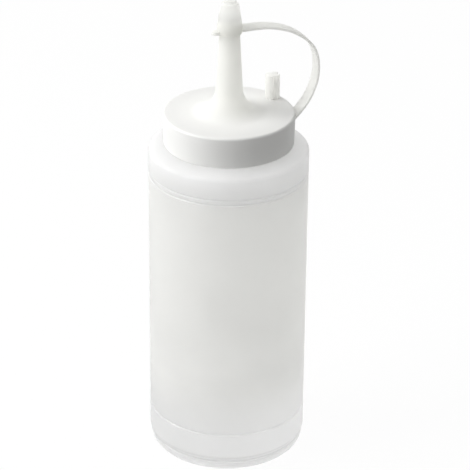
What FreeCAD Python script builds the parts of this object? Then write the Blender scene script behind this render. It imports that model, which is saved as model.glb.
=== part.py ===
import FreeCAD, Part
import math
import os

# Squeeze bottle for decorating with sauces and icing: a blow-moulded bottle,
# a screw-on closure with a tall nozzle and a peg, and a tip cap on a strap.
# Millimetres, +Z up, origin on the axis at the middle of the base.
# The strap runs from the tip cap towards +X and down to the closure.

# bottle
body_dia = 54.9             # over the bands, the widest part
panel_set_in = 0.05         # the plain wall between the lines is this much inside the bands
foot_set_in = 0.45          # and the foot this much
foot_height = 6.3
foot_step = 0.5             # height of the slope from foot to band
lower_band_height = 9.2     # from the foot to the lower line
panel_height = 89.2         # from the lower line to the upper pair
line_pitch = 1.8            # between the two upper lines
upper_band_height = 7.4     # from the upper pair to the shoulder
shoulder_rise = 1.9         # from the shoulder's edge to where the neck starts
shoulder_round = 2.2
heel_round = 4.2
line_width = 0.9
line_depth = 0.35
bottle_wall = 1.1
base_wall = 1.6
neck_wall = 1.8

# closure
skirt_height = 10.8
skirt_dia = 44.5            # at its lower edge
skirt_flare = 0.25          # the skirt is this much wider, on the radius, at its top
skirt_wall = 2.0
disc_thick = 1.6
rim_round = 0.9
neck_clearance = 0.35       # between the neck and the inside of the skirt
shoulder_gap = 0.3          # between the shoulder and the lower edge of the skirt

# nozzle
nozzle_height = 32.8        # from the disc to the open tip
nozzle_base_dia = 10.1
nozzle_tip_dia = 6.5
nozzle_flare_round = 9.0
nozzle_wall_base = 2.35
nozzle_wall_tip = 1.95
bore_mouth_round = 1.0

# parking peg for the tip cap
peg_dia = 5.0
peg_height = 8.6
peg_inset = 3.2             # from the rim of the disc to the middle of the peg
peg_turn = 20.0             # degrees round from the strap
peg_groove_count = 4
peg_groove_width = 1.5
peg_groove_depth = 1.2
peg_cut_margin = 0.5        # how far the groove cutters reach past the peg

# tip cap
cap_height = 11.5
cap_roof = 7.3              # from the nozzle's tip to the top of the cap
cap_wall = 0.7              # at the rim
cap_clearance = 0.05        # between the cap's bore and the nozzle
cap_top_set_in = 1.2        # the top is this much inside the rim
cap_round = 1.4
cap_rim_round = 0.28
cap_land = 2.6              # the straight part above the rim
nub_set_in = 0.7            # the nub is this much inside the cap's top
nub_height = 0.9
nub_round = 0.6
tab_out = 2.2               # pull tab, out from the rim
tab_width = 3.0
tab_thick = 1.2

# strap
strap_width = 5.4
strap_thick = 0.85
strap_up = 1.1              # where it leaves the cap, above the cap's rim
strap_crest = (13.6, 0.8)   # points of its loop: out from the axis, up from the cap's rim
strap_bend = (22.8, -2.3)
strap_turn = (29.8, -8.7)
strap_far = (31.3, -18.1)
strap_return = (28.2, -27.3)
strap_root_up = 4.6         # where it meets the skirt, above its lower edge
strap_bed = 0.4             # how far its ends are set into the wall they join
strap_steps = 24            # points along each side of its band

# for drawing the outlines
most_of_side = 0.48
same_point = 1e-6


def filleted(corners):
    """Wire through (r, z, radius) corners, closed, with each radius as an arc.

    An arc takes at most most_of_side of the sides it joins.
    """
    points = [FreeCAD.Vector(r, 0, z) for r, z, _ in corners]
    edges = []
    ends = []
    for i, (_, _, radius) in enumerate(corners):
        here = points[i]
        back = points[i - 1] - here
        ahead = points[(i + 1) % len(points)] - here
        if radius <= 0:
            ends.append((here, here, None))
            continue
        half = back.getAngle(ahead) / 2
        reach = min(radius / math.tan(half), most_of_side * back.Length, most_of_side * ahead.Length)
        back.normalize()
        ahead.normalize()
        middle = back + ahead
        middle.normalize()
        true_radius = reach * math.tan(half)
        centre = here + middle * (true_radius / math.sin(half))
        ends.append((here + back * reach, here + ahead * reach, centre - middle * true_radius))
    for i, (start, end, through) in enumerate(ends):
        if through is not None:
            edges.append(Part.Arc(start, through, end).toShape())
        follow = ends[(i + 1) % len(ends)][0]
        if end.distanceToPoint(follow) > same_point:
            edges.append(Part.LineSegment(end, follow).toShape())
    return Part.Wire(edges)


def turned(corners):
    """Solid of revolution about Z of a closed outline of (r, z, radius) corners."""
    face = Part.Face(filleted(corners))
    return face.revolve(FreeCAD.Vector(0, 0, 0), FreeCAD.Vector(0, 0, 1), 360)


def line_in(radius_below, radius_above, height):
    """Corners of one moulded line round the bottle."""
    deep = min(radius_below, radius_above) - line_depth
    return [
        (radius_below, height - line_width / 2, 0),
        (deep, height, line_width / 4),
        (radius_above, height + line_width / 2, 0),
    ]


# heights, from the base up
lower_line = foot_height + lower_band_height
upper_line = lower_line + panel_height
second_line = upper_line + line_pitch
shoulder_edge = second_line + upper_band_height
shoulder_top = shoulder_edge + shoulder_rise
skirt_bottom = shoulder_top + shoulder_gap
disc_top = skirt_bottom + skirt_height
disc_under = disc_top - disc_thick
nozzle_tip = disc_top + nozzle_height
cap_top = nozzle_tip + cap_roof
cap_rim = cap_top - cap_height

# radii
band_r = body_dia / 2
panel_r = band_r - panel_set_in
foot_r = band_r - foot_set_in
inner_r = panel_r - line_depth - bottle_wall
skirt_r = skirt_dia / 2
disc_r = skirt_r + skirt_flare
skirt_inner_r = skirt_r - skirt_wall
neck_r = skirt_inner_r - neck_clearance
neck_bore_r = neck_r - neck_wall
nozzle_tip_r = nozzle_tip_dia / 2


def nozzle_radius(height):
    """Outer radius of the nozzle's taper at a height above the base."""
    share = (height - disc_top) / nozzle_height
    return nozzle_base_dia / 2 + (nozzle_tip_r - nozzle_base_dia / 2) * share


cap_rim_r = nozzle_radius(cap_rim) + cap_clearance + cap_wall
cap_top_r = cap_rim_r - cap_top_set_in


def make_bottle():
    outside = [(0, 0, 0), (foot_r, 0, heel_round), (foot_r, foot_height - foot_step, 0)]
    outside += [(band_r, foot_height, 0)]
    outside += line_in(band_r, panel_r, lower_line)
    outside += line_in(panel_r, band_r, upper_line)
    outside += line_in(band_r, band_r, second_line)
    outside += [(band_r, shoulder_edge, shoulder_round), (skirt_r, shoulder_top, 0)]
    outside += [(neck_r, shoulder_top, 0), (neck_r, disc_under, 0)]
    inside = [
        (neck_bore_r, disc_under, 0),
        (neck_bore_r, shoulder_top - bottle_wall, 0),
        (skirt_r - bottle_wall, shoulder_top - bottle_wall, 0),
        (inner_r, shoulder_edge - bottle_wall, shoulder_round - bottle_wall),
        (inner_r, base_wall, heel_round - bottle_wall),
        (0, base_wall, 0),
    ]
    return turned(outside + inside)


def make_peg():
    """Round peg with grooves down its sides."""
    peg = Part.makeCylinder(peg_dia / 2, peg_height + disc_thick / 2)
    for i in range(peg_groove_count):
        outer = peg_dia / 2 + peg_cut_margin
        half = peg_groove_width / 2 * (peg_groove_depth + peg_cut_margin) / peg_groove_depth
        corners = [
            FreeCAD.Vector(peg_dia / 2 - peg_groove_depth, 0, disc_thick / 2),
            FreeCAD.Vector(outer, -half, disc_thick / 2),
            FreeCAD.Vector(outer, half, disc_thick / 2),
        ]
        face = Part.Face(Part.makePolygon(corners + corners[:1]))
        groove = face.extrude(FreeCAD.Vector(0, 0, peg_height + peg_cut_margin))
        groove.rotate(FreeCAD.Vector(0, 0, 0), FreeCAD.Vector(0, 0, 1), 360 / peg_groove_count * i)
        peg = peg.cut(groove)
    turn = math.radians(peg_turn)
    peg_out = disc_r - peg_inset
    across = peg_out * math.sin(turn)
    peg.translate(FreeCAD.Vector(peg_out * math.cos(turn), across, disc_top - disc_thick / 2))
    return peg


def make_closure():
    outline = [
        (skirt_inner_r, skirt_bottom, 0),
        (skirt_r, skirt_bottom, 0),
        (disc_r, disc_top, rim_round),
        (nozzle_base_dia / 2, disc_top, nozzle_flare_round),
        (nozzle_tip_r, nozzle_tip, 0),
        (nozzle_tip_r - nozzle_wall_tip, nozzle_tip, 0),
        (nozzle_base_dia / 2 - nozzle_wall_base, disc_under, bore_mouth_round),
        (skirt_inner_r, disc_under, 0),
    ]
    return turned(outline).fuse(make_peg()).removeSplitter()


def make_cap_shell():
    """The hollow cap that stands on the nozzle's tip."""
    nub_r = cap_top_r - nub_set_in
    outline = [
        (cap_rim_r - cap_wall, cap_rim, 0),
        (cap_rim_r, cap_rim, cap_rim_round),
        (cap_rim_r, cap_rim + cap_land, cap_round),
        (cap_top_r, cap_top - nub_height, cap_round),
        (nub_r, cap_top - nub_height, 0),
        (nub_r, cap_top, nub_round),
        (0, cap_top, 0),
        (0, nozzle_tip, 0),
        (nozzle_tip_r + cap_clearance, nozzle_tip, 0),
    ]
    return turned(outline)


def make_tab():
    """Rounded pull tab at the rim, on the side away from the strap."""
    half = tab_width / 2
    middle = FreeCAD.Vector(half - cap_rim_r - tab_out, 0, cap_rim)
    bar = Part.makeBox(-middle.x, tab_width, tab_thick, middle - FreeCAD.Vector(0, half, 0))
    end = Part.makeCylinder(half, tab_thick, middle)
    bore = Part.makeCylinder(cap_rim_r - cap_wall / 2, tab_thick, FreeCAD.Vector(0, 0, cap_rim))
    return bar.fuse(end).cut(bore)


def strap_path():
    """The middle line of the strap, from the cap's wall to the skirt."""
    start = FreeCAD.Vector(cap_rim_r - strap_bed, 0, cap_rim + strap_up)
    root = FreeCAD.Vector(skirt_r - strap_bed, 0, skirt_bottom + strap_root_up)
    loop = [strap_crest, strap_bend, strap_turn, strap_far, strap_return]
    between = [FreeCAD.Vector(out, 0, cap_rim + up) for out, up in loop]
    curve = Part.BSplineCurve()
    curve.interpolate(Points=[start] + between + [root])
    return curve


def make_strap():
    curve = strap_path()
    sides = {1: [], -1: []}
    first, last = curve.FirstParameter, curve.LastParameter
    for i in range(strap_steps + 1):
        at = first + (last - first) * i / strap_steps
        point = curve.value(at)
        along = curve.tangent(at)[0]
        across = FreeCAD.Vector(-along.z, 0, along.x)
        for side in sides:
            sides[side].append(point + across * (side * strap_thick / 2))
    edges = []
    for side in sides:
        edge = Part.BSplineCurve()
        edge.interpolate(Points=sides[side])
        edges.append(edge.toShape())
    edges.append(Part.LineSegment(sides[1][0], sides[-1][0]).toShape())
    edges.append(Part.LineSegment(sides[1][-1], sides[-1][-1]).toShape())
    face = Part.Face(Part.Wire(Part.__sortEdges__(edges)))
    strap = face.extrude(FreeCAD.Vector(0, strap_width, 0))
    strap.translate(FreeCAD.Vector(0, -strap_width / 2, 0))
    return strap


def make_tip_cap(closure):
    cap = make_cap_shell().fuse([make_tab(), make_strap()])
    return cap.cut(closure).removeSplitter()


bottle = make_bottle()
closure = make_closure()
pieces = {
    "bottle": bottle,
    "closure": closure,
    "tip_cap": make_tip_cap(closure),
}

os.makedirs("parts", exist_ok=True)
for name, shape in pieces.items():
    solid = shape.Solids[0]
    solid.exportStep("parts/" + name + ".step")
    box = solid.BoundBox
    print(name, len(shape.Solids), "solid, valid", solid.isValid(), "volume %.0f" % solid.Volume)
    print("  x %.2f %.2f  y %.2f %.2f  z %.2f %.2f" % (box.XMin, box.XMax, box.YMin, box.YMax, box.ZMin, box.ZMax))
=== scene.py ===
import math

import bmesh
import bpy
from mathutils import Matrix, Vector
from mathutils.geometry import interpolate_bezier


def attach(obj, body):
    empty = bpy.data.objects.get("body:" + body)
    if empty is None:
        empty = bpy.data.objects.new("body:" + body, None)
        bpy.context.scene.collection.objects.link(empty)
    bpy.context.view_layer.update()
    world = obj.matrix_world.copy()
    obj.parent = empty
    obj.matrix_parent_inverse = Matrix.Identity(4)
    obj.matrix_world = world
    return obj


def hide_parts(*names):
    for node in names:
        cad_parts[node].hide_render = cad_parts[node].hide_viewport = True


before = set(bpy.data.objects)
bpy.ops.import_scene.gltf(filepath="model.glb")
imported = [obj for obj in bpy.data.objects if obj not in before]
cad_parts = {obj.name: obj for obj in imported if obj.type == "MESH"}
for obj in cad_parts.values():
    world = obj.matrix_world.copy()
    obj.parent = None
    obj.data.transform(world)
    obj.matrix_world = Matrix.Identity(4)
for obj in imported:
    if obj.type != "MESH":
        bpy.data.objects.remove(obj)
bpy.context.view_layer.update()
print("frame loaded:", sorted(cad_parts))

mm = 0.001
tiny = 1e-7               # metres, points this close are the same
scene = bpy.context.scene


# small helpers
def hexColor(text):
    parts = [int(text[i:i + 2], 16) / 255 for i in (0, 2, 4)]
    linear = [c / 12.92 if c <= 0.04045 else ((c + 0.055) / 1.055) ** 2.4 for c in parts]
    return (*linear, 1.0)


def addNode(tree, kind, settings=None, links=None):
    # settings: socket or attribute name to value, links: socket name to the output that feeds it
    node = tree.nodes.new(kind)
    for key, value in (settings or {}).items():
        if isinstance(key, int) or key in node.inputs:
            node.inputs[key].default_value = value
        else:
            setattr(node, key, value)
    for key, source in (links or {}).items():
        tree.links.new(source, node.inputs[key])
    return node


def newMaterial(name):
    material = bpy.data.materials.new(name)
    material.use_nodes = True
    material.node_tree.nodes.clear()
    return material, material.node_tree


def finishPiece(name, bm, material, sharpAngle=40):
    bmesh.ops.remove_doubles(bm, verts=bm.verts, dist=tiny)
    bmesh.ops.recalc_face_normals(bm, faces=bm.faces)
    mesh = bpy.data.meshes.new(name)
    bm.to_mesh(mesh)
    bm.free()
    for polygon in mesh.polygons:
        polygon.use_smooth = True
    mesh.set_sharp_from_angle(angle=math.radians(sharpAngle))
    mesh.materials.append(material)
    piece = bpy.data.objects.new(name, mesh)
    scene.collection.objects.link(piece)
    return piece


rounding = {
    "segments": 6,
    "large": 2.5,         # mm, roundings above this get the finer division
    "largeSegments": 16,
    "pegSegments": 3,
    "tabSegments": 4,
    "strapSegments": 3,
}


def turnProfile(outline, steps):
    # outline: (radius, height, rounding) in mm along the section, both ends on the axis or a closed loop
    bm = bmesh.new()
    corners = [bm.verts.new((r * mm, 0, z * mm)) for r, z, _ in outline]
    for a, b in zip(corners, corners[1:]):
        bm.edges.new((a, b))
    if outline[0][0] > 0:
        bm.edges.new((corners[-1], corners[0]))
    for corner, (_, _, size) in zip(corners, outline):
        if size:
            segments = rounding["largeSegments"] if size > rounding["large"] else rounding["segments"]
            bmesh.ops.bevel(bm, geom=[corner], offset=size * mm, offset_type="OFFSET", affect="VERTICES",
                            segments=segments, profile=0.5, material=-1)
    bmesh.ops.spin(bm, geom=bm.verts[:] + bm.edges[:], cent=(0, 0, 0), axis=(0, 0, 1),
                   angle=math.tau, steps=steps, use_merge=True)
    return bm


# camera, standing in front and to the left of the strap, looking down on the bottle
view = {
    "azimuth": -20.0,     # degrees round the bottle from the front
    "distance": 727.25,   # mm, level
    "height": 450.04,     # mm above the base
    "down": 26.96,        # degrees
    "swing": -0.19,       # degrees
    "roll": 0.53,         # degrees
    "lens": 180.25,       # mm
    "sensor": 36,         # mm
    "nearest": 10,        # mm, nothing closer is drawn
}


def makeCamera():
    data = bpy.data.cameras.new("camera")
    data.lens = view["lens"]
    data.sensor_width = view["sensor"]
    data.clip_start = view["nearest"] * mm
    camera = bpy.data.objects.new("camera", data)
    scene.collection.objects.link(camera)
    turn = math.radians(view["azimuth"])
    place = Vector((math.sin(turn), -math.cos(turn), 0)) * view["distance"] * mm
    place.z = view["height"] * mm
    spin = Matrix.Rotation(turn + math.radians(view["swing"]), 4, "Z")
    tip = Matrix.Rotation(math.radians(90 - view["down"]), 4, "X")
    roll = Matrix.Rotation(math.radians(view["roll"]), 4, "Z")
    camera.matrix_world = Matrix.Translation(place) @ spin @ tip @ roll
    scene.camera = camera


makeCamera()
print("camera set")


# natural low-density polyethylene, blow moulded: milky, lets light through, soft satin gloss
naturalPlastic = {
    # height in mm and colour: a little darker in the moulded lines and at the foot's step, painted shade in
    # the grooves; darker up the shoulder to the neck, painted shade under the closure's skirt; a shade
    # paler at the foot, painted light from the floor under the base
    "tintsAndShade": [(0, "FEFEFE"), (3.9, "FCFCFC"), (4.5, "EEEEEE"), (5.2, "FEFEFE"), (6.0, "F2F2F2"),
              (6.6, "FEFEFE"), (14.8, "FCFCFC"), (15.5, "F6F6F6"), (16.2, "FAFAFA"), (32, "FBFBFA"),
              (70, "FBFBFA"), (100, "FCFCFB"), (104.0, "FCFCFB"), (104.7, "F4F4F4"), (105.6, "FEFEFE"),
              (106.5, "F4F4F4"), (107.2, "FCFCFC"), (113.4, "FCFCFC"), (115.8, "F6F6F6")],
    "cloudSize": 22.0,    # mm, thick and thin places in the wall
    "cloudDepth": 0.03,   # how much darker the thick places are
    "grainSize": 0.9,     # mm, faint skin of the mould
    "grainBump": 0.06,
    "grainHeight": 0.2,   # mm
    "roughness": 0.2,
    "ior": 1.51,
    "gloss": 0.3,         # satin skin, 0.5 is what the ior alone gives
    # share of the light that scatters through the wall, and share of the rest that passes as through
    # frosted glass: two heights in mm with their shares, or one share for the whole piece
    "through": [(20, 0.7), (34, 0.62)],
    "clear": [(20, 0.85), (34, 0.45)],
}

# white low-density polyethylene, injection moulded: soft satin skin, light bleeds through thin walls
whitePlastic = {
    "tintsAndShade": [(0, "FAFAF8"), (170, "FAFAF8")],
    "cloudSize": 14.0,
    "cloudDepth": 0.012,
    "grainSize": 0.6,
    "grainBump": 0.05,
    "grainHeight": 0.2,
    "roughness": 0.42,
    "ior": 1.51,
    "gloss": 0.3,         # satin skin, 0.5 is what the ior alone gives
    "through": [(126.4, 0.12), (129.0, 0.6)],    # little at the skirt and disc, more at the nozzle
    "clear": 0.0,
}


# the span of the clouds' noise that goes into the tint, and how many finer layers each noise has
cloudNoise = {"low": 0.3, "high": 0.7, "layers": 3.0}
grainNoise = {"layers": 2.0}


def makePlastic(name, look):
    material, tree = newMaterial(name)
    place = addNode(tree, "ShaderNodeTexCoord")
    axes = addNode(tree, "ShaderNodeSeparateXYZ", None, {"Vector": place.outputs["Object"]})
    low, high = look["tintsAndShade"][0][0], look["tintsAndShade"][-1][0]
    level = addNode(tree, "ShaderNodeMapRange", {"From Min": low * mm, "From Max": high * mm},
                    {"Value": axes.outputs["Z"]})
    # colour by height from the table, with any painted shade and painted light that it lists
    tintAndShade = addNode(tree, "ShaderNodeValToRGB", None, {"Fac": level.outputs["Result"]})
    for i, (height, color) in enumerate(look["tintsAndShade"]):
        spot = (height - low) / (high - low)
        stops = tintAndShade.color_ramp.elements
        stop = stops[0] if i == 0 else stops[-1] if height == high else stops.new(spot)
        stop.color = hexColor(color)
    clouds = addNode(tree, "ShaderNodeTexNoise",
                     {"Scale": 1000 / look["cloudSize"], "Detail": cloudNoise["layers"]},
                     {"Vector": place.outputs["Object"]})
    shade = addNode(tree, "ShaderNodeMapRange",
                    {"From Min": cloudNoise["low"], "From Max": cloudNoise["high"],
                     "To Min": 1 - look["cloudDepth"], "To Max": 1.0},
                    {"Value": clouds.outputs["Fac"]})
    color = addNode(tree, "ShaderNodeVectorMath", {"operation": "SCALE"},
                    {0: tintAndShade.outputs["Color"], "Scale": shade.outputs["Result"]})
    grain = addNode(tree, "ShaderNodeTexNoise",
                    {"Scale": 1000 / look["grainSize"], "Detail": grainNoise["layers"]},
                    {"Vector": place.outputs["Object"]})
    bump = addNode(tree, "ShaderNodeBump",
                   {"Strength": look["grainBump"], "Distance": look["grainHeight"] * mm},
                   {"Height": grain.outputs["Fac"]})
    skinSettings = {"Roughness": look["roughness"], "IOR": look["ior"], "Specular IOR Level": look["gloss"]}
    skinLinks = {"Base Color": color.outputs["Vector"], "Normal": bump.outputs["Normal"]}
    mixSettings = {}
    mixLinks = {}
    # a share that changes with height is a link, a plain one is a setting
    for share, socket, settings, links in ((look["clear"], "Transmission Weight", skinSettings, skinLinks),
                                           (look["through"], 0, mixSettings, mixLinks)):
        if isinstance(share, list):
            (lowEnd, lowShare), (highEnd, highShare) = share
            byHeight = addNode(tree, "ShaderNodeMapRange",
                               {"From Min": lowEnd * mm, "From Max": highEnd * mm,
                                "To Min": lowShare, "To Max": highShare}, {"Value": axes.outputs["Z"]})
            links[socket] = byHeight.outputs["Result"]
        else:
            settings[socket] = share
    skin = addNode(tree, "ShaderNodeBsdfPrincipled", skinSettings, skinLinks)
    glow = addNode(tree, "ShaderNodeBsdfTranslucent", None,
                   {"Color": color.outputs["Vector"], "Normal": bump.outputs["Normal"]})
    mixLinks.update({1: skin.outputs["BSDF"], 2: glow.outputs["BSDF"]})
    mix = addNode(tree, "ShaderNodeMixShader", mixSettings, mixLinks)
    addNode(tree, "ShaderNodeOutputMaterial", None, {"Surface": mix.outputs["Shader"]})
    return material


naturalMaterial = makePlastic("naturalPolyethylene", naturalPlastic)
whiteMaterial = makePlastic("whitePolyethylene", whitePlastic)
# the peg, the tab and the strap are solid, so less light comes through them than through the cap
thickMaterial = makePlastic("whitePolyethyleneThick", {**whitePlastic, "through": 0.52})
# the cap's wall lets more light through than the nozzle's, and its top is a shade darker: painted shade
# against the light that falls on it from above
capPlastic = {**whitePlastic, "tintsAndShade": [(0, "FBFBF9"), (164, "FBFBF9"), (167, "F2F2F0")], "through": 0.7}
capMaterial = makePlastic("whitePolyethyleneThin", capPlastic)
print("materials made")


# blow-moulded bottle, mm
bottle = {
    "panel": 27.4,        # radius of the plain wall
    "band": 27.45,        # radius of the bands above and below it
    "foot": 27.0,
    "footHeight": 6.3,
    "footStep": 0.5,      # height of the slope from foot to band
    "footLine": 4.55,     # shallow groove under the foot's step
    "heel": 3.9,
    "lowerLine": 15.5,
    "upperLine": 104.7,
    "linePitch": 1.8,
    "lineWidth": 0.9,
    "lineDepth": 0.4,
    "lineEdge": 0.1,      # rounding at a line's two edges
    "lineFloor": 0.15,    # rounding at a line's floor and at the foot's step
    "shoulderEdge": 113.9,
    "shoulderRound": 1.0,
    "shoulderTop": 115.8,
    "closureRadius": 22.25,
    "neck": 19.9,
    "neckBore": 18.1,
    "neckTop": 125.3,
    "lipRound": 0.3,
    "neckRound": 0.8,     # inside, where neck and shoulder meet
    "wall": 1.1,
    "baseWall": 1.6,
    "steps": 160,
}


def lineAround(below, above, height):
    b = bottle
    half = b["lineWidth"] / 2
    deep = min(below, above) - b["lineDepth"]
    return [(below, height - half, b["lineEdge"]), (deep, height, b["lineFloor"]),
            (above, height + half, b["lineEdge"])]


def makeBottle():
    b = bottle
    inner = b["panel"] - b["lineDepth"] - b["wall"]
    outline = [(0, 0, 0), (b["foot"], 0, b["heel"])]
    outline += lineAround(b["foot"], b["foot"], b["footLine"])
    outline += [(b["foot"], b["footHeight"] - b["footStep"], b["lineFloor"]),
                (b["band"], b["footHeight"], b["lineFloor"])]
    outline += lineAround(b["band"], b["panel"], b["lowerLine"])
    outline += lineAround(b["panel"], b["band"], b["upperLine"])
    outline += lineAround(b["band"], b["band"], b["upperLine"] + b["linePitch"])
    outline += [(b["band"], b["shoulderEdge"], b["shoulderRound"]),
                (b["closureRadius"], b["shoulderTop"], 0),
                (b["neck"], b["shoulderTop"], 0), (b["neck"], b["neckTop"], b["lipRound"]),
                (b["neckBore"], b["neckTop"], b["lipRound"]),
                (b["neckBore"], b["shoulderTop"] - b["wall"], b["neckRound"]),
                (b["closureRadius"] - b["wall"], b["shoulderTop"] - b["wall"], 0),
                (inner, b["shoulderEdge"] - b["wall"], b["shoulderRound"] - b["wall"]),
                (inner, b["baseWall"], b["heel"] - b["wall"]), (0, b["baseWall"], 0)]
    bm = turnProfile(outline, b["steps"])
    piece = finishPiece("bottleShell", bm, naturalMaterial)
    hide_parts("bottle")
    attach(piece, "root")


makeBottle()
print("bottle made")


# closure with its nozzle and peg, mm
closure = {
    "bottom": 116.1,
    "discTop": 126.9,
    "skirt": 22.25,
    "flare": 0.25,
    "innerSkirt": 20.25,
    "discThick": 1.6,
    "rimRound": 0.9,
    "nozzleBase": 5.05,
    "nozzleTip": 3.25,
    "nozzleTop": 159.7,
    "nozzleFlare": 9.0,   # radius
    "boreBase": 2.7,
    "boreTip": 1.3,
    "footRound": 0.15,    # the skirt's lower edge, outside
    "edgeRound": 0.2,     # its lower edge inside, and the nozzle's tip
    "funnelRound": 1.0,   # where the bore starts under the disc
    "underRound": 0.4,    # where skirt and disc meet inside
    "pegRadius": 2.5,
    "pegHeight": 8.6,
    "pegOut": 19.3,
    "pegTurn": 20.0,      # degrees round from the strap
    "pegGroove": 1.2,     # depth of the four grooves
    "pegReach": 0.24,     # half a groove's width, as a share of a quarter turn
    "pegRim": 0.25,       # rounding
    "pegSides": 32,
    "steps": 144,
}


def nozzleCorner():
    # a rounding is given as its distance from the corner, so the flare's is worked out from its radius
    c = closure
    lean = math.atan2(c["nozzleBase"] - c["nozzleTip"], c["nozzleTop"] - c["discTop"])
    inside = math.pi / 2 + lean
    return c["nozzleFlare"] / math.tan(inside / 2)


def makeClosure():
    c = closure
    outline = [(c["innerSkirt"], c["bottom"], c["edgeRound"]), (c["skirt"], c["bottom"], c["footRound"]),
               (c["skirt"] + c["flare"], c["discTop"], c["rimRound"]),
               (c["nozzleBase"], c["discTop"], nozzleCorner()),
               (c["nozzleTip"], c["nozzleTop"], c["edgeRound"]),
               (c["boreTip"], c["nozzleTop"], c["edgeRound"]),
               (c["boreBase"], c["discTop"] - c["discThick"], c["funnelRound"]),
               (c["innerSkirt"], c["discTop"] - c["discThick"], c["underRound"])]
    bm = turnProfile(outline, c["steps"])
    piece = finishPiece("closureBody", bm, whiteMaterial)
    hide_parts("closure")
    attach(piece, "root")


def makePeg():
    # a round peg; the points near each quarter turn are drawn in to make the grooves
    c = closure
    bm = bmesh.new()
    ring = bmesh.ops.create_circle(bm, cap_ends=True, radius=c["pegRadius"] * mm, segments=c["pegSides"])
    for vert in ring["verts"]:
        angle = math.atan2(vert.co.y, vert.co.x)
        away = (angle / (math.pi / 2)) % 1
        away = min(away, 1 - away)
        if away < c["pegReach"]:
            vert.co *= 1 - c["pegGroove"] / c["pegRadius"] * (1 - away / c["pegReach"])
    base = bm.faces[:]
    raised = bmesh.ops.extrude_face_region(bm, geom=base)
    top = [g for g in raised["geom"] if isinstance(g, bmesh.types.BMVert)]
    sunk = c["discThick"] / 2
    bmesh.ops.translate(bm, verts=top, vec=(0, 0, (c["pegHeight"] + sunk) * mm))
    rim = [e for e in bm.edges if all(v in top for v in e.verts)]
    bmesh.ops.bevel(bm, geom=rim, offset=c["pegRim"] * mm, offset_type="OFFSET", affect="EDGES",
                    segments=rounding["pegSegments"], profile=0.5, material=-1, clamp_overlap=True)
    turn = math.radians(c["pegTurn"])
    place = Vector((c["pegOut"] * math.cos(turn), c["pegOut"] * math.sin(turn), c["discTop"] - sunk)) * mm
    bmesh.ops.translate(bm, verts=bm.verts, vec=place)
    piece = finishPiece("parkingPeg", bm, thickMaterial, sharpAngle=50)
    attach(piece, "root")


makeClosure()
makePeg()
print("closure made")


# tip cap with its strap and pull tab, mm
tipCap = {
    "rimHeight": 155.5,
    "top": 167.0,
    "rim": 4.23,
    "topRadius": 3.03,
    "land": 2.6,
    "landRound": 0.8,
    "shoulder": 1.0,
    "nub": 2.33,
    "nubHeight": 0.9,
    "roof": 159.7,        # the inside of the roof, on the nozzle's tip
    "bore": 3.3,
    "boreRim": 3.53,
    "rimRound": 0.3,
    "topRound": 0.5,
    "fineRound": 0.1,     # inside, and at the foot of the nub
    "tabReach": 6.43,
    "tabWidth": 3.0,
    "tabThick": 1.2,
    "tabStraight": 3.9,   # out from the axis, where its straight sides end in the cap
    "tabRound": 0.3,
    "tabSides": 32,
    "steps": 96,
}

strap = {
    "width": 5.4,
    "thick": 0.85,
    "edge": 0.25,
    "points": [(3.83, 156.6), (13.6, 156.3), (22.8, 153.2), (29.8, 146.8), (31.3, 137.4),
               (28.2, 128.2), (21.85, 120.7)],   # out from the axis and up, from the cap to the skirt
    "steps": 10,          # between two points
}


def makeTipCap():
    t = tipCap
    outline = [(t["boreRim"], t["rimHeight"], t["fineRound"]), (t["rim"], t["rimHeight"], t["rimRound"]),
               (t["rim"], t["rimHeight"] + t["land"], t["landRound"]),
               (t["topRadius"], t["top"] - t["nubHeight"], t["shoulder"]),
               (t["nub"], t["top"] - t["nubHeight"], t["fineRound"]), (t["nub"], t["top"], t["topRound"]),
               (0, t["top"], 0)]
    inside = [(0, t["roof"], 0), (t["bore"], t["roof"], t["fineRound"])]
    bm = turnProfile(inside + outline, t["steps"])
    piece = finishPiece("tipCapShell", bm, capMaterial)
    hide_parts("tip_cap")
    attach(piece, "root")


def makeTab():
    t = tipCap
    bm = bmesh.new()
    half = t["tabWidth"] / 2
    bmesh.ops.create_circle(bm, cap_ends=True, radius=half * mm, segments=t["tabSides"])
    inner = [v for v in bm.verts if v.co.x > -tiny]
    for vert in inner:
        vert.co.x += (t["tabReach"] - half - t["tabStraight"]) * mm
    raised = bmesh.ops.extrude_face_region(bm, geom=bm.faces[:])
    top = [g for g in raised["geom"] if isinstance(g, bmesh.types.BMVert)]
    bmesh.ops.translate(bm, verts=top, vec=(0, 0, t["tabThick"] * mm))
    rims = [e for e in bm.edges if abs(e.verts[0].co.z - e.verts[1].co.z) < tiny]
    bmesh.ops.bevel(bm, geom=rims, offset=t["tabRound"] * mm, offset_type="OFFSET", affect="EDGES",
                    segments=rounding["tabSegments"], profile=0.5, material=-1, clamp_overlap=True)
    bmesh.ops.translate(bm, verts=bm.verts, vec=Vector((half - t["tabReach"], 0, t["rimHeight"])) * mm)
    piece = finishPiece("pullTab", bm, thickMaterial)
    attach(piece, "root")


def smoothLine(points, steps):
    # an even curve through the points, each one's direction from its neighbours
    line = []
    for i, (a, b) in enumerate(zip(points, points[1:])):
        before = points[max(i - 1, 0)]
        after = points[min(i + 2, len(points) - 1)]
        line += interpolate_bezier(a, a + (b - before) / 6, b - (after - a) / 6, b, steps + 1)[:-1]
    return line + [points[-1]]


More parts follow.
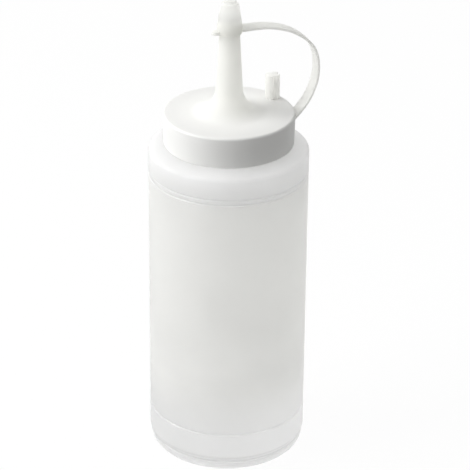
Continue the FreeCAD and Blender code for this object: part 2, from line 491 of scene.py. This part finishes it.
def makeStrap():
    # a rounded section drawn along the loop, step by step
    s = strap
    line = smoothLine([Vector((out, 0, height)) * mm for out, height in s["points"]], s["steps"])
    bm = bmesh.new()
    bmesh.ops.create_grid(bm, x_segments=1, y_segments=1, size=0.5 * mm)
    bmesh.ops.scale(bm, verts=bm.verts, vec=(s["thick"], s["width"], 1))
    bmesh.ops.bevel(bm, geom=bm.verts[:], offset=s["edge"] * mm, offset_type="OFFSET", affect="VERTICES",
                    segments=rounding["strapSegments"], profile=0.5, material=-1)
    end = bm.faces[:]
    last = Matrix.Identity(4)
    for i, point in enumerate(line):
        ahead = line[min(i + 1, len(line) - 1)] - line[max(i - 1, 0)]
        place = Matrix.Translation(point) @ Matrix.Rotation(math.atan2(ahead.x, ahead.z), 4, "Y")
        if i:
            grown = bmesh.ops.extrude_face_region(bm, geom=end)["geom"]
            if i > 1:
                bmesh.ops.delete(bm, geom=end, context="FACES_ONLY")   # the last end is now inside
            end = [g for g in grown if isinstance(g, bmesh.types.BMFace)]
        bmesh.ops.transform(bm, matrix=place @ last.inverted(), verts=end[0].verts)
        last = place
    piece = finishPiece("tetherBand", bm, thickMaterial)
    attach(piece, "root")


makeTipCap()
makeTab()
makeStrap()
print("tip cap made")


# floor and lights
studio = {
    "floorSize": 3.0,     # metres
    "floorDrop": 0.0002,  # metres, keeps the floor out of the plane of the base
    "floorColor": "A0A0A0",    # in the light that it throws back on the bottle
    "floorWhite": 0.96,   # share of plain white in the floor that is seen; the rest takes the shadow
    "fill": 0.33,         # strength of the room's even light
    # degrees round from the camera, degrees up, metres away, metres wide, watts
    "keyLamp": (-80, 34, 0.9, 0.7, 8.4),
    "backLamp": (180, 76, 0.9, 0.8, 2.0),
    "aim": 0.09,          # metres above the floor, where the lamps look
}


def seenRays(tree):
    # 1 for the rays of the camera, of clear walls and of gloss, which see plain white, 0 for the others
    path = addNode(tree, "ShaderNodeLightPath")
    direct = addNode(tree, "ShaderNodeMath", {"operation": "MAXIMUM"},
                     {0: path.outputs["Is Camera Ray"], 1: path.outputs["Is Transmission Ray"]})
    seen = addNode(tree, "ShaderNodeMath", {"operation": "MAXIMUM"},
                   {0: direct.outputs[0], 1: path.outputs["Is Glossy Ray"]})
    return seen.outputs[0]


def makeFloor():
    bm = bmesh.new()
    bmesh.ops.create_grid(bm, x_segments=1, y_segments=1, size=studio["floorSize"] / 2)
    bmesh.ops.translate(bm, verts=bm.verts, vec=(0, 0, -studio["floorDrop"]))
    material, tree = newMaterial("whitePaper")
    seen = seenRays(tree)
    share = addNode(tree, "ShaderNodeMath", {"operation": "MULTIPLY", 1: studio["floorWhite"]}, {0: seen})
    color = addNode(tree, "ShaderNodeMix", {"data_type": "RGBA", 6: hexColor(studio["floorColor"]),
                                            7: hexColor("FFFFFF")}, {0: seen})
    paper = addNode(tree, "ShaderNodeBsdfDiffuse", None, {"Color": color.outputs[2]})
    white = addNode(tree, "ShaderNodeEmission", {"Color": (1, 1, 1, 1), "Strength": 1.0})
    mix = addNode(tree, "ShaderNodeMixShader", None,
                  {"Fac": share.outputs[0], 1: paper.outputs[0], 2: white.outputs[0]})
    addNode(tree, "ShaderNodeOutputMaterial", None, {"Surface": mix.outputs[0]})
    mesh = bpy.data.meshes.new("floor")
    bm.to_mesh(mesh)
    bm.free()
    mesh.materials.append(material)
    floor = bpy.data.objects.new("floor", mesh)
    scene.collection.objects.link(floor)


def makeLamp(name):
    # a square softbox that looks at the middle of the bottle
    azimuth, elevation, distance, size, power = studio[name]
    data = bpy.data.lights.new(name, "AREA")
    data.shape = "SQUARE"
    data.size = size
    data.energy = power
    lamp = bpy.data.objects.new(name, data)
    scene.collection.objects.link(lamp)
    turn = math.radians(view["azimuth"] + azimuth)
    rise = math.radians(elevation)
    away = Vector((math.sin(turn) * math.cos(rise), -math.cos(turn) * math.cos(rise), math.sin(rise)))
    target = Vector((0, 0, studio["aim"]))
    facing = away.to_track_quat("Z", "Y").to_matrix().to_4x4()
    lamp.matrix_world = Matrix.Translation(target + away * distance) @ facing


def makeWorld():
    world = bpy.data.worlds.new("studio")
    world.use_nodes = True
    scene.world = world
    tree = world.node_tree
    tree.nodes.clear()
    room = addNode(tree, "ShaderNodeBackground", {"Color": (1, 1, 1, 1), "Strength": studio["fill"]})
    white = addNode(tree, "ShaderNodeBackground", {"Color": (1, 1, 1, 1), "Strength": 1.0})
    mix = addNode(tree, "ShaderNodeMixShader", None,
                  {"Fac": seenRays(tree), 1: room.outputs[0], 2: white.outputs[0]})
    addNode(tree, "ShaderNodeOutputWorld", None, {"Surface": mix.outputs[0]})


makeFloor()
makeWorld()
makeLamp("keyLamp")
makeLamp("backLamp")
scene.view_settings.view_transform = "Standard"
print("studio set")
